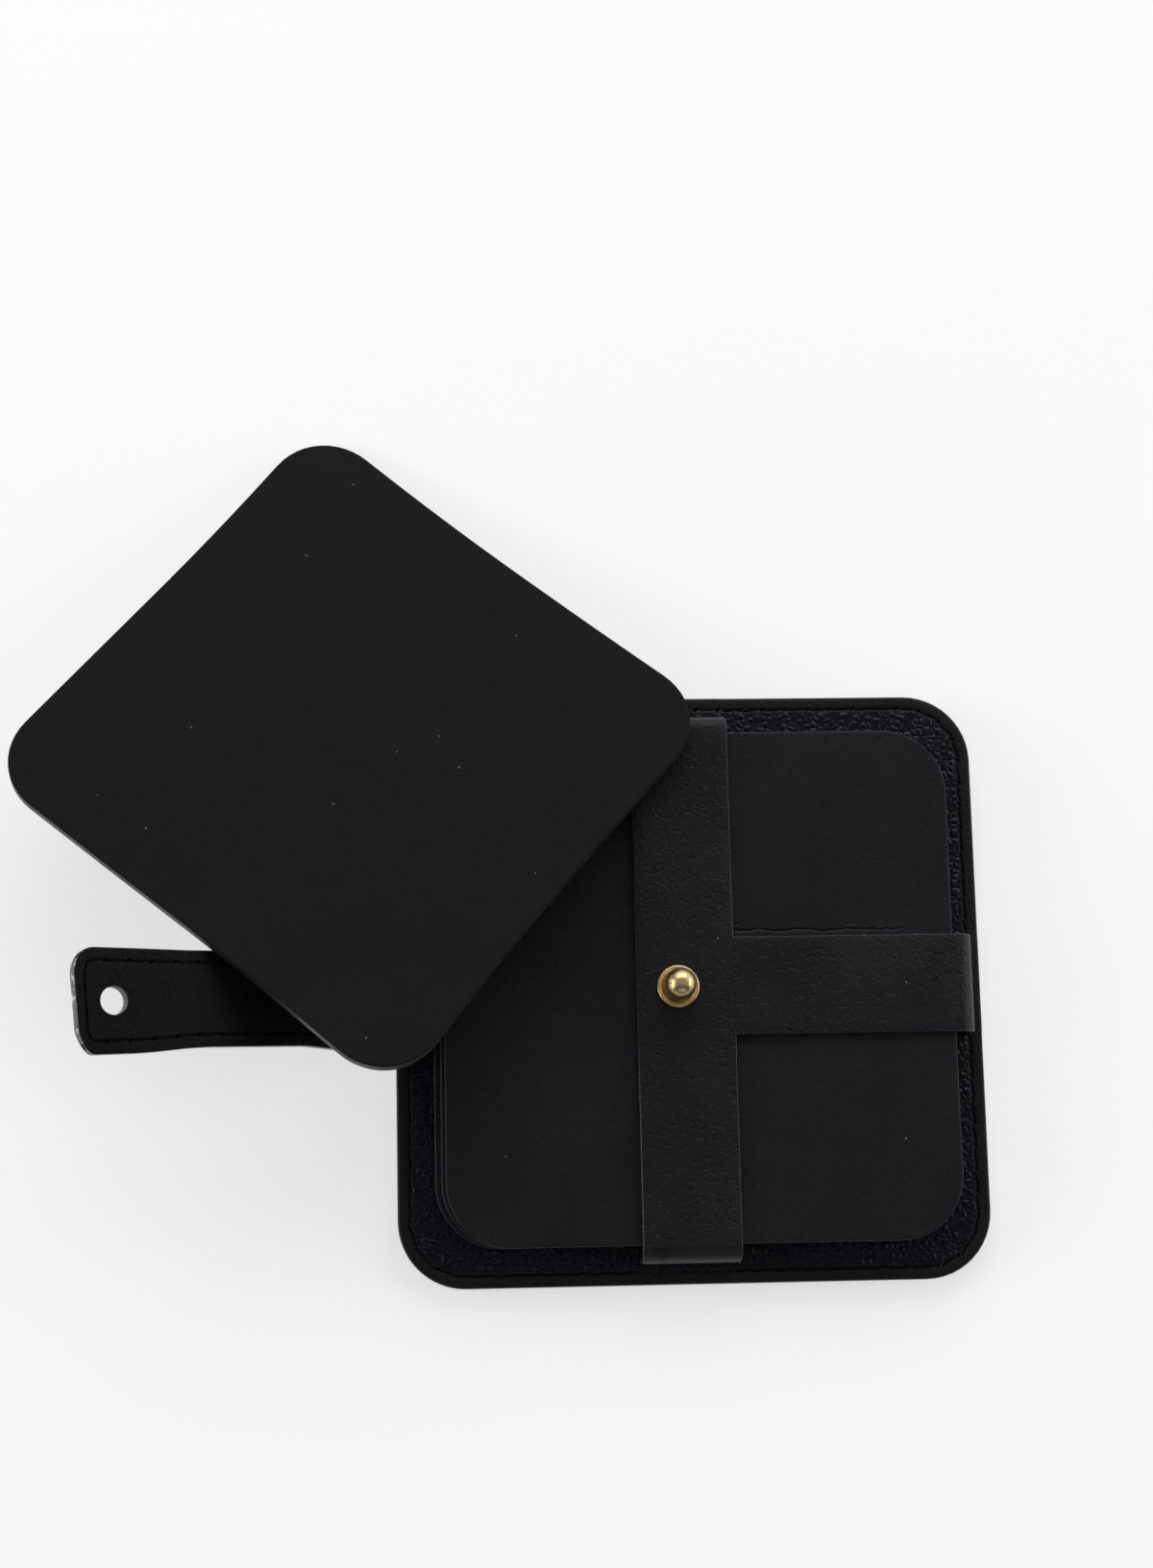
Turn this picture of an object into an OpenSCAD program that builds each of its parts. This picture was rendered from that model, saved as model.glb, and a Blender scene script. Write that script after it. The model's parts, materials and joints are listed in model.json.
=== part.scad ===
// Leather coaster set: a stitched square base holds a stack of square coasters under a T-shaped
// retaining strap, and a closing strap buttons over a ball stud. One coaster lies loose on top.
// Millimetres. Origin: middle of the base's underside. +Z up, +X towards the retaining strap's arm.

/* [Coasters] */
// Side of a coaster
coaster_side = 99; // [80:0.5:125]
// Corner radius of a coaster
coaster_corner = 12.5; // [6:0.5:16]
// Thickness of a coaster's grained face leather
face_t = 1.2; // [0.9:0.1:2]
// Thickness of a coaster's smooth backing leather
back_t = 1.0; // [0.8:0.1:2]
// Gap between stacked coasters
stack_gap = 0.1; // [0.05:0.05:0.2]
// Sideways place of the lowest coaster
low_shift = -0.6; // [-0.8:0.1:1.2]
// Sideways place of the middle coaster
mid_shift = 0.6; // [-0.8:0.1:1.4]
// Sideways place of the top coaster
top_shift = 1.4; // [0:0.1:1.4]
// Lengthways place of the whole stack
stack_y = -0.4; // [-1:0.1:1]

/* [Base] */
// Width of the rim around the coasters
base_rim = 7.75; // [6.6:0.05:11]
// Corner radius of the base
base_corner = 13; // [8:0.5:16]
// Thickness of the underside panel
under_t = 1.5; // [1:0.1:2.5]
// Thickness of the stiffener between the panels
middle_t = 1.4; // [1.4:0.1:2.5]
// Thickness of the inner panel that the coasters lie on
inner_t = 1.5; // [1:0.1:2.5]

/* [Stitching] */
// Distance from a leather edge to the middle of the stitch line
stitch_inset = 2.4; // [1.6:0.1:3]
// Width of the thread
thread_w = 0.7; // [0.4:0.1:0.9]
// Depth of the stitching groove
groove_deep = 0.35; // [0.2:0.05:0.4]

/* [Retaining strap] */
// Width of the strap and of its arm
strap_w = 18.9; // [14:0.1:26]
// Thickness of the strap
strap_t = 1.4; // [1.2:0.1:1.4]
// Sideways place of the long strap's middle
strap_x = -1.6; // [-6:0.1:6]
// Lengthways place of the arm's middle
arm_y = -0.9; // [-6:0.1:6]
// Inside radius of the bends at the coasters' edges
bend_r = 0.8; // [0.4:0.1:1.5]
// Gap between the top coaster and the strap
strap_gap = 0.3; // [0.2:0.05:0.6]
// Gap between the coasters' edges and the strap's legs
leg_gap = 0.5; // [0.3:0.05:0.8]
// Length of the end tucked into the base beyond the leg
tuck = 4.4; // [3:0.1:5]
// Clearance around the strap in its slits and pockets
slit_gap = 0.1; // [0.05:0.05:0.2]

/* [Stud] */
// Sideways place of the stud
stud_x = -3.1; // [-6:0.1:2]
// Lengthways place of the stud
stud_y = -1; // [-4:0.1:2]
// Diameter of the stud's flange
flange_d = 8.2; // [7:0.1:12]
// Thickness of the flange
flange_t = 1; // [0.8:0.1:1.5]
// Diameter of the ball
ball_d = 6; // [5:0.1:8]
// Height of the ball's middle over the flange
ball_up = 4.8; // [4:0.1:7]
// Diameter of the neck
neck_d = 3.6; // [3.3:0.1:4.4]
// Diameter of the screw's shank
screw_d = 2.4; // [2:0.1:2.6]
// Diameter of the screw's flat head
screw_head_d = 7; // [5:0.1:9]
// Thickness of the screw's head
screw_head_t = 0.6; // [0.4:0.05:0.8]
// Clearance around the screw
screw_gap = 0.05; // [0.02:0.01:0.1]

/* [Closing strap] */
// Width of the closing strap
close_w = 18.6; // [14:0.1:24]
// Width of its rounded tip
tip_w = 19.6; // [14:0.1:26]
// Corner radius of the tip
tip_corner = 5; // [3:0.1:7]
// Thickness of the outer leather
outer_t = 1.3; // [1:0.1:1.6]
// Thickness of the lining leather
lining_t = 1.1; // [0.8:0.1:1.4]
// Diameter of the button hole
hole_d = 5.2; // [4.4:0.1:6.4]
// Length of the tip beyond the button hole
tip_past = 8.6; // [7:0.1:12]
// How far the strap is sewn askew
strap_yaw = 2; // [0:0.5:3]
// How steeply the short riser stands when the strap lies open
riser_rest = 75; // [40:1:80]
// How steeply the long flap stands when the strap lies open
flap_rest = 26; // [14:1:34]
// How far outside the top coaster's edge the closed strap folds over
fold_out = 3.2; // [2.8:0.1:4]
// Height of that fold over the top coaster
fold_up = 2.8; // [2.4:0.1:4]
// Gap between the closed riser and the base's upper edge
lean_gap = 0.5; // [0.4:0.05:1]
// Gap between the riser's rounded ends and the leather they turn against
fold_gap = 0.1; // [0.05:0.05:0.3]
// Length of the end sewn into the base
tab_len = 12; // [8:0.5:16]

/* [Loose coaster] */
// How far its middle lies outside the base's left edge
loose_out = 7.3; // [4:0.1:12]
// How far its middle lies inside the base's far edge
loose_in = 10.8; // [6:0.1:14]
// How far it is turned about the vertical
loose_turn = 49.3; // [46:0.1:52]
// Gap left where it rests
rest_gap = 0.3; // [0.2:0.05:0.6]

/* [Hidden] */
$fn = 64;
eps = 0.01;
coaster_t = face_t + back_t;
base_side = coaster_side + 2 * base_rim;
base_half = base_side / 2;
middle_z = under_t;
inner_z = middle_z + middle_t;
base_top = inner_z + inner_t;
stack_pitch = coaster_t + stack_gap;
stack_top = base_top + 3 * stack_pitch;
strap_under = stack_top + strap_gap;
strap_top = strap_under + strap_t;
leg_far = coaster_side / 2 + stack_y + leg_gap;
leg_near = coaster_side / 2 - stack_y + leg_gap;
leg_right = coaster_side / 2 + top_shift + leg_gap;
flange_top = strap_top + flange_t;
groove_w = thread_w + 0.1;

close_t = outer_t + lining_t;
hinge_z = middle_z + close_t / 2;
// room for the riser to lean in over the base's upper edge when closed, at 50 degrees
lean_room = (base_top - hinge_z) / tan(50) + close_t / 2 / sin(50);
hinge_x = -(base_half + lean_room + lean_gap);
hinge_y = stud_y - (stud_x - hinge_x) * tan(strap_yaw);
reach = (stud_x - hinge_x) / cos(strap_yaw);
fold_x = top_shift - coaster_side / 2 - fold_out - hinge_x;
fold_z = stack_top + fold_up - hinge_z;
riser_len = norm([fold_x, fold_z]);
riser_lean = atan2(fold_z, fold_x);
tab_root = (close_t / 2 + fold_gap) / sin(riser_lean) + max(0, middle_t - close_t / 2) / tan(riser_lean);
hole_z = flange_top + 0.25 + close_t / 2 - hinge_z;
hole_at = norm([reach - fold_x, hole_z - fold_z]);
flap_len = hole_at + tip_past;
flap_start = close_t / 2 + fold_gap;
flare_from = hole_at - 14;

// a point on the open flap's upper face, at its far edge
function on_flap(along) = let (
    x = -riser_len * cos(riser_rest) - along * cos(flap_rest) + close_t / 2 * sin(flap_rest),
    y = close_w / 2,
    z = riser_len * sin(riser_rest) + along * sin(flap_rest) + close_t / 2 * cos(flap_rest)
) [
    hinge_x + x * cos(strap_yaw) - y * sin(strap_yaw),
    hinge_y + x * sin(strap_yaw) + y * cos(strap_yaw),
    hinge_z + z + rest_gap
];
// a point on the retaining strap's far end
on_strap = [strap_x + strap_w * 0.12, leg_far - bend_r + 0.6, strap_top + rest_gap];
// where the loose coaster's far corner meets the table, when its outline is shortened by a tilt
loose_x = -base_half - loose_out;
loose_y = base_half - loose_in;
corner_reach = (coaster_side / 2 - coaster_corner) * sqrt(2) + coaster_corner;
function on_table(shorten) = [
    loose_x + corner_reach * shorten * cos(45 + loose_turn),
    loose_y + corner_reach * shorten * sin(45 + loose_turn),
    0.15
];
// the three angles that turn an upright plate's axis to n
function tilt_angles(n) = let (
    across = n[0] * cos(loose_turn) + n[1] * sin(loose_turn),
    along = -n[0] * sin(loose_turn) + n[1] * cos(loose_turn)
) [-asin(along), atan2(across, n[2]), loose_turn];
// how far from the fold the edge of a coaster tilted to n crosses the flap's far edge
function crossing(n) = let (
    a = tilt_angles(n),
    across = cos(a[1]) * [cos(loose_turn), sin(loose_turn)],
    edge = [
        sin(a[0]) * sin(a[1]) * cos(loose_turn) - cos(a[0]) * sin(loose_turn),
        sin(a[0]) * sin(a[1]) * sin(loose_turn) + cos(a[0]) * cos(loose_turn)
    ],
    fold = on_flap(0),
    step = on_flap(1) - fold,
    from = [loose_x - fold[0], loose_y - fold[1]] - coaster_side / 2 * across
) (from[0] * edge[1] - from[1] * edge[0]) / (step[0] * edge[1] - step[1] * edge[0]);
function plane(touch, rest) = let (n = cross(on_strap - touch, rest - touch)) n / norm(n) * sign(n[2]);
// the tilt at which the loose coaster comes to rest on the table, the flap and the strap
function settle(n, rounds) =
    rounds == 0 ? n : settle(plane(on_table(n[2]), on_flap(crossing(n))), rounds - 1);
loose_n = settle([0, 0, 1], 5);
touch = on_table(loose_n[2]);
loose_z = touch[2] + ((touch[0] - loose_x) * loose_n[0] + (touch[1] - loose_y) * loose_n[1]) / loose_n[2];
loose_rot = tilt_angles(loose_n);

// ---- shared shapes

// a square with rounded corners
module rounded_square(side, r) {
    square([side, side - 2 * r], center = true);
    square([side - 2 * r, side], center = true);
    for (x = [-1, 1], y = [-1, 1])
        translate([x * (side / 2 - r), y * (side / 2 - r)]) circle(r);
}

// a leather plate from z = 0
module plate(side, r, t) {
    linear_extrude(t) rounded_square(side, r);
}

// the closed line of a border's stitches, w wide
module border_line(side, r, w) {
    difference() {
        rounded_square(side - 2 * stitch_inset + w, r - stitch_inset + w / 2);
        rounded_square(side - 2 * stitch_inset - w, r - stitch_inset - w / 2);
    }
}

// ---- base

// slits or pockets for the retaining strap's three ends, t deep from z up
module strap_pockets(z, t, inward, outward, across) {
    w = strap_w + 2 * across;
    translate([strap_x - w / 2, leg_far - inward, z]) cube([w, inward + outward, t]);
    translate([strap_x - w / 2, -leg_near - outward, z]) cube([w, inward + outward, t]);
    translate([leg_right - inward, arm_y - w / 2, z]) cube([inward + outward, w, t]);
}

module base_underside_panel() {
    color([0.03, 0.03, 0.035])
    difference() {
        plate(base_side, base_corner, under_t);
        translate([0, 0, -eps])
            linear_extrude(groove_deep + eps) border_line(base_side, base_corner, groove_w);
    }
}

module base_stiffener() {
    color([0.05, 0.045, 0.04])
    difference() {
        translate([0, 0, middle_z]) plate(base_side, base_corner, middle_t);
        strap_pockets(middle_z - eps, middle_t + 2 * eps, slit_gap, strap_t + tuck + slit_gap, slit_gap);
        tab_shape(slit_gap, middle_t + 2 * eps, -eps);
    }
}

module base_inner_panel() {
    color([0.035, 0.04, 0.07])
    difference() {
        translate([0, 0, inner_z]) plate(base_side, base_corner, inner_t);
        strap_pockets(inner_z - eps, inner_t + 2 * eps, slit_gap, strap_t + slit_gap, slit_gap);
        translate([0, 0, base_top - groove_deep])
            linear_extrude(groove_deep + eps) border_line(base_side, base_corner, groove_w);
    }
}

module base_stitching() {
    color([0.02, 0.02, 0.02]) {
        linear_extrude(groove_deep) border_line(base_side, base_corner, thread_w);
        translate([0, 0, base_top - groove_deep])
            linear_extrude(groove_deep) border_line(base_side, base_corner, thread_w);
    }
}

// ---- retaining strap and its stud

// one half of the strap's side view: over the coasters, down the leg and outward into the base
module strap_half(leg) {
    corner = [leg - bend_r, strap_under - bend_r];
    translate([-eps, strap_under]) square([corner[0] + eps, strap_t]);
    intersection() {
        difference() {
            translate(corner) circle(bend_r + strap_t);
            translate(corner) circle(bend_r);
        }
        translate(corner) square(bend_r + strap_t);
    }
    translate([leg, middle_z]) square([strap_t, corner[1] - middle_z]);
    translate([leg, middle_z]) square([strap_t + tuck, strap_t]);
}

module retaining_strap() {
    color([0.07, 0.07, 0.075])
    difference() {
        union() {
            translate([strap_x - strap_w / 2, 0, 0]) rotate([90, 0, 90]) linear_extrude(strap_w)
                union() {
                    strap_half(leg_far);
                    mirror([1, 0]) strap_half(leg_near);
                }
            translate([0, arm_y + strap_w / 2, 0]) rotate([90, 0, 0]) linear_extrude(strap_w)
                strap_half(leg_right);
        }
        translate([stud_x, stud_y, strap_under - 1]) cylinder(d = screw_d + 2 * screw_gap, h = strap_t + 2);
        translate([stud_x, stud_y, strap_under - 1])
            cylinder(d = screw_head_d + 2 * screw_gap, h = screw_head_t + 1 + screw_gap);
    }
}

module stud_head() {
    color([0.72, 0.53, 0.25])
    translate([stud_x, stud_y, strap_top])
    difference() {
        union() {
            cylinder(d = flange_d, h = flange_t);
            cylinder(d = neck_d, h = flange_t + ball_up);
            translate([0, 0, flange_t + ball_up]) sphere(d = ball_d);
        }
        translate([0, 0, -1]) cylinder(d = screw_d + 2 * screw_gap, h = flange_t + ball_up / 2 + 1);
    }
}

module stud_screw() {
    color([0.72, 0.53, 0.25])
    translate([stud_x, stud_y, strap_under]) {
        cylinder(d = screw_head_d, h = screw_head_t);
        cylinder(d = screw_d, h = strap_t + flange_t + ball_up / 2 - 0.3);
    }
}

// ---- closing strap

// places a shape drawn along +X from the strap's root, at an angle up from the left
module along_strap(from_x, from_z, rise) {
    translate([hinge_x, hinge_y, hinge_z]) rotate([0, 0, strap_yaw])
        translate([from_x, 0, from_z]) rotate([0, rise, 0]) mirror([1, 0, 0]) children();
}

// the strap's end in the base, from the riser's root inwards
module tab_shape(gap, t, low) {
    translate([hinge_x, hinge_y, middle_z + low]) rotate([0, 0, strap_yaw])
        translate([tab_root, -close_w / 2 - gap, 0])
            cube([-base_half - hinge_x - tab_root + tab_len + gap, close_w + 2 * gap, t]);
}

module closing_strap_tab() {
    color([0.06, 0.06, 0.065]) tab_shape(0, middle_t, 0);
}

// side view of the riser between its two rounded ends
module riser_side() {
    translate([0, -close_t / 2]) square([riser_len, close_t]);
    circle(d = close_t);
    translate([riser_len, 0]) circle(d = close_t);
}

// a slice of the riser's side view, spread across the strap's width
module riser_layer(low, t) {
    along_strap(0, 0, riser_rest)
        translate([0, close_w / 2, 0]) rotate([90, 0, 0]) linear_extrude(close_w)
            intersection() {
                riser_side();
                translate([-close_t, low]) square([riser_len + 2 * close_t, t]);
            }
}

module riser_outer() {
    color([0.06, 0.06, 0.065]) riser_layer(-close_t / 2, outer_t);
}

module riser_lining() {
    color([0.07, 0.07, 0.075]) riser_layer(-close_t / 2 + outer_t, lining_t);
}

// outline of the flap, drawn in by a distance all round
module flap_outline(inset) {
    r = tip_corner - inset;
    end = flap_len - inset;
    root = close_w / 2 - inset;
    tip = tip_w / 2 - inset;
    polygon([
        [flap_start, -root], [flare_from, -root], [end - r, -tip],
        [end - r, tip], [flare_from, root], [flap_start, root]
    ]);
    translate([end - r - eps, -tip + r]) square([r + eps, 2 * (tip - r)]);
    for (y = [-1, 1]) translate([end - r, y * (tip - r)]) circle(r);
}

module flap_line(w) {
    difference() {
        flap_outline(stitch_inset - w / 2);
        flap_outline(stitch_inset + w / 2);
    }
}

module on_flap_frame() {
    along_strap(-riser_len * cos(riser_rest), riser_len * sin(riser_rest), flap_rest) children();
}

module button_hole() {
    translate([hole_at, 0, -close_t]) cylinder(d = hole_d, h = 2 * close_t);
}

module flap_outer() {
    color([0.06, 0.06, 0.065])
    on_flap_frame() translate([0, 0, -close_t / 2])
    difference() {
        linear_extrude(outer_t) flap_outline(0);
        button_hole();
        translate([0, 0, -eps]) linear_extrude(groove_deep + eps) flap_line(groove_w);
    }
}

module flap_lining() {
    color([0.07, 0.07, 0.075])
    on_flap_frame() translate([0, 0, outer_t - close_t / 2])
    difference() {
        linear_extrude(lining_t) flap_outline(0);
        button_hole();
        translate([0, 0, lining_t - groove_deep]) linear_extrude(groove_deep + eps) flap_line(groove_w);
    }
}

module flap_stitching() {
    color([0.02, 0.02, 0.02])
    on_flap_frame() {
        translate([0, 0, -close_t / 2]) linear_extrude(groove_deep) flap_line(thread_w);
        translate([0, 0, close_t / 2 - groove_deep]) linear_extrude(groove_deep) flap_line(thread_w);
    }
}

// ---- coasters

module stacked(level, shift, low, t) {
    translate([shift, stack_y, base_top + stack_gap + level * stack_pitch + low])
        plate(coaster_side, coaster_corner, t);
}

module low_coaster_backing() {
    color([0.05, 0.055, 0.05]) stacked(0, low_shift, 0, back_t);
}

module low_coaster_face() {
    color([0.06, 0.06, 0.065]) stacked(0, low_shift, back_t, face_t);
}

module middle_coaster_backing() {
    color([0.05, 0.055, 0.05]) stacked(1, mid_shift, 0, back_t);
}

module middle_coaster_face() {
    color([0.06, 0.06, 0.065]) stacked(1, mid_shift, back_t, face_t);
}

module top_coaster_backing() {
    color([0.05, 0.055, 0.05]) stacked(2, top_shift, 0, back_t);
}

module top_coaster_face() {
    color([0.06, 0.06, 0.065]) stacked(2, top_shift, back_t, face_t);
}

// a layer of the loose coaster, which lies face down
module loose_layer(low, t) {
    translate([loose_x, loose_y, loose_z]) rotate(loose_rot)
        translate([0, 0, low]) plate(coaster_side, coaster_corner, t);
}

module loose_coaster_face() {
    color([0.06, 0.06, 0.065]) loose_layer(0, face_t);
}

module loose_coaster_backing() {
    color([0.05, 0.055, 0.05]) loose_layer(face_t, back_t);
}

base_underside_panel();
base_stiffener();
base_inner_panel();
base_stitching();
retaining_strap();
stud_head();
stud_screw();
closing_strap_tab();
riser_outer();
riser_lining();
flap_outer();
flap_lining();
flap_stitching();
low_coaster_backing();
low_coaster_face();
middle_coaster_backing();
middle_coaster_face();
top_coaster_backing();
top_coaster_face();
loose_coaster_face();
loose_coaster_backing();
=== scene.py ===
import json
import math
import random

import bmesh
import bpy
from mathutils import Matrix, Vector


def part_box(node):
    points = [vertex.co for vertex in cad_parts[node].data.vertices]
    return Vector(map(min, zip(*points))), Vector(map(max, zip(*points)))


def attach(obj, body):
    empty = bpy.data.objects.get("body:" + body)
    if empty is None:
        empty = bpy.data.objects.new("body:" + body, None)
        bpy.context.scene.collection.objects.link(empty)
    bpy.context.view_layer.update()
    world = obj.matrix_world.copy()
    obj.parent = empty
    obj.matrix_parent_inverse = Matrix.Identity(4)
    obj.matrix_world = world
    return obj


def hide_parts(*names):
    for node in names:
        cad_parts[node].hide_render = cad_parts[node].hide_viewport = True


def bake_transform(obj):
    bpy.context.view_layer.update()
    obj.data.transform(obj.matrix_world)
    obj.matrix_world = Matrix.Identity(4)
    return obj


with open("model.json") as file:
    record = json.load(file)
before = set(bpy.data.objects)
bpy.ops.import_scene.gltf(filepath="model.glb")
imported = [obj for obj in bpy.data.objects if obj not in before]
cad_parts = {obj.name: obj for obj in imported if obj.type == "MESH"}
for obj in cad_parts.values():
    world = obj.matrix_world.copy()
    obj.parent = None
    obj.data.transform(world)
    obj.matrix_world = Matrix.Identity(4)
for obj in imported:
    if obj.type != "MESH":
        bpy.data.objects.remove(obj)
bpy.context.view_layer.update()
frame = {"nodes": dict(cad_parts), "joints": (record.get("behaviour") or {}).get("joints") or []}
mm = 0.001
joints = {joint["name"]: joint for joint in frame["joints"]}
print("frame loaded:", len(frame["nodes"]), "nodes")


# small helpers for modelling by operator

def clearSelection():
    if bpy.context.object and bpy.context.object.mode != "OBJECT":
        bpy.ops.object.mode_set(mode="OBJECT")
    bpy.ops.object.select_all(action="DESELECT")


def hold(piece):
    # makes a piece the only selected and active one
    clearSelection()
    piece.select_set(True)
    bpy.context.view_layer.objects.active = piece


def openMesh(piece):
    hold(piece)
    bpy.ops.object.mode_set(mode="EDIT")


def closeMesh():
    bpy.ops.object.mode_set(mode="OBJECT")


def nameIt(name):
    piece = bpy.context.object
    piece.name = name
    piece.data.name = name
    return piece


def pickAll():
    bpy.ops.mesh.select_all(action="SELECT")


def pick(kind, test):
    # selects only the vertices, edges or faces that pass the test
    bpy.ops.mesh.select_mode(type=kind)
    bpy.ops.mesh.select_all(action="DESELECT")
    data = bpy.context.object.data
    shape = bmesh.from_edit_mesh(data)
    shape.faces.ensure_lookup_table()
    parts = {"VERT": shape.verts, "EDGE": shape.edges, "FACE": shape.faces}[kind]
    for part in parts:
        if test(part):
            part.select_set(True)
    shape.select_flush_mode()
    bmesh.update_edit_mesh(data)


def edgeMiddle(edge):
    return (edge.verts[0].co + edge.verts[1].co) / 2


def pullOut(way):
    # extrudes what is selected by a distance
    bpy.ops.mesh.extrude_region_move(TRANSFORM_OT_translate={"value": way})


def facesOut():
    pickAll()
    bpy.ops.mesh.normals_make_consistent(inside=False)


def finishWith(piece, kind, **settings):
    # adds one modifier and applies it
    hold(piece)
    modifier = piece.modifiers.new(kind.lower(), kind)
    for key, value in settings.items():
        setattr(modifier, key, value)
    bpy.ops.object.modifier_apply(modifier=modifier.name)


def cutWith(piece, cutter):
    finishWith(piece, "BOOLEAN", operation="DIFFERENCE", solver="EXACT", object=cutter)
    bpy.data.objects.remove(cutter)


def settle(piece):
    # puts a piece's place into its mesh
    hold(piece)
    bpy.ops.object.transform_apply(location=True, rotation=True, scale=True)


def coax(piece, rule):
    # moves each point as the rule says, as leather is eased by hand
    for vertex in piece.data.vertices:
        vertex.co = rule(vertex.co.copy())
    piece.data.update()


def smooth(piece, angle=35):
    hold(piece)
    bpy.ops.object.shade_smooth_by_angle(angle=math.radians(angle))


def joinAll(pieces, name):
    clearSelection()
    for piece in pieces:
        piece.select_set(True)
    bpy.context.view_layer.objects.active = pieces[0]
    bpy.ops.object.join()
    return nameIt(name)


def twin(piece, name):
    # a copy with its own mesh
    copied = piece.copy()
    copied.data = piece.data.copy()
    copied.name = copied.data.name = name
    bpy.context.scene.collection.objects.link(copied)
    return copied


def midpoint(node):
    low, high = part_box(node)
    return (low + high) / 2


def dress(piece, *materials):
    piece.data.materials.clear()
    for material in materials:
        piece.data.materials.append(material)


# small helpers for nodes

def feed(tree, socket, value):
    # links a socket to another node's output, or sets its value
    if isinstance(value, bpy.types.NodeSocket):
        tree.links.new(value, socket)
    elif socket.type == "RGBA":
        socket.default_value = (*value, 1)
    else:
        socket.default_value = value


def put(tree, kind, inputs=None, **settings):
    # adds a node, sets it, and feeds its inputs
    node = tree.nodes.new(kind)
    for key, value in settings.items():
        setattr(node, key, value)
    for key, value in (inputs or {}).items():
        feed(tree, node.inputs[key], value)
    return node


def sums(tree, operation, first, second, third=None):
    inputs = {0: first, 1: second}
    if third is not None:
        inputs[2] = third
    return put(tree, "ShaderNodeMath", inputs, operation=operation).outputs[0]


def ease(tree, value, low, high, outLow=0.0, outHigh=1.0):
    ranged = {"Value": value, "From Min": low, "From Max": high, "To Min": outLow, "To Max": outHigh}
    return put(tree, "ShaderNodeMapRange", ranged, interpolation_type="SMOOTHSTEP").outputs[0]


def blendColours(tree, share, first, second):
    return put(tree, "ShaderNodeMix", {0: share, 6: first, 7: second}, data_type="RGBA").outputs[2]


# camera and light

camera = {
    "leanBack": -10.25,     # degrees about the view's own axes
    "leanAside": 3.45,
    "roll": 0.62,
    "objectAside": 21.8,    # millimetres
    "objectUp": -40.15,
    "away": 530.9,
    "lens": 62.0,
}


def makeCamera():
    s = camera
    turn = Matrix.Rotation(math.radians(s["roll"]), 3, "Z")
    turn = turn @ Matrix.Rotation(math.radians(s["leanAside"]), 3, "Y")
    turn = turn @ Matrix.Rotation(math.radians(s["leanBack"]), 3, "X")
    shifted = Vector((s["objectAside"], s["objectUp"], -s["away"])) * mm
    clearSelection()
    bpy.ops.object.camera_add()
    made = nameIt("camera")
    made.matrix_world = Matrix.Translation(-(turn.transposed() @ shifted)) @ turn.transposed().to_4x4()
    made.data.lens = s["lens"]
    made.data.clip_start = 0.01
    bpy.context.scene.camera = made


lighting = {
    "ceiling": (0.26, 0.262, 0.27),
    "walls": (0.62, 0.63, 0.65),
    "wallTop": (0.22, 0.50),    # sine of the height at which the walls start and stop fading
    "nearSide": (-0.55, 0.05),  # the room is dark on this side, towards whoever looks
    "nearShade": 0.10,
    # name: place and width and height in metres, watts
    "lamps": {
        "farWindow": ((0.15, 1.35, 0.95), (1.9, 0.9), 11.0),
        "leftPanel": ((-1.35, -0.05, 0.50), (1.1, 0.6), 7.0),
        "rightPanel": ((1.35, 0.15, 0.55), (1.1, 0.6), 4.5),
        "nearPanel": ((0.1, -1.4, 0.9), (1.4, 0.5), 1.3),
    },
    "aim": (0.0, 0.0, 0.0),
    "floorSide": 6.0,
    "paper": {"Base Color": (0.60, 0.60, 0.60), "Roughness": 0.9, "Specular IOR Level": 0.1,
              "Emission Color": (1.0, 1.0, 1.0), "Emission Strength": 0.585},
}


def makeLight():
    s = lighting
    world = bpy.data.worlds.new("ceiling")
    world.use_nodes = True
    tree = world.node_tree
    upward = put(tree, "ShaderNodeSeparateXYZ", {0: put(tree, "ShaderNodeTexCoord").outputs["Generated"]})
    height, depth = upward.outputs["Z"], upward.outputs["Y"]
    fade = put(tree, "ShaderNodeMapRange", {"Value": height, "From Min": s["wallTop"][0],
                                            "From Max": s["wallTop"][1]})
    darker = put(tree, "ShaderNodeMapRange", {"Value": depth, "From Min": s["nearSide"][0],
                                              "From Max": s["nearSide"][1], "To Min": s["nearShade"]})
    room = tree.nodes["Background"]
    feed(tree, room.inputs["Color"], blendColours(tree, fade.outputs[0], s["walls"], s["ceiling"]))
    feed(tree, room.inputs["Strength"], darker.outputs[0])
    bpy.context.scene.world = world
    bpy.context.scene.view_settings.view_transform = "Standard"
    for name, (place, size, watts) in s["lamps"].items():
        clearSelection()
        bpy.ops.object.light_add(type="AREA", location=place)
        lamp = nameIt(name)
        lamp.data.shape = "RECTANGLE"
        lamp.data.size, lamp.data.size_y = size
        lamp.data.energy = watts
        lamp.rotation_mode = "QUATERNION"
        lamp.rotation_quaternion = (Vector(s["aim"]) - Vector(place)).to_track_quat("-Z", "Y")
    clearSelection()
    bpy.ops.mesh.primitive_plane_add(size=s["floorSide"])
    floor = nameIt("floor")
    paper = bpy.data.materials.new("palePaper")
    paper.use_nodes = True
    shader = paper.node_tree.nodes["Principled BSDF"]
    for title, value in s["paper"].items():
        feed(paper.node_tree, shader.inputs[title], value)
    dress(floor, paper)


makeCamera()
makeLight()
print("camera and light set")


# shared effects for the materials

def newGroup(name, ins, outs):
    group = bpy.data.node_groups.new(name, "ShaderNodeTree")
    for title, kind, value in ins:
        socket = group.interface.new_socket(name=title, in_out="INPUT", socket_type=kind)
        if value is not None:
            socket.default_value = value
    for title, kind in outs:
        group.interface.new_socket(name=title, in_out="OUTPUT", socket_type=kind)
    return group, group.nodes.new("NodeGroupInput"), group.nodes.new("NodeGroupOutput")


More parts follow.
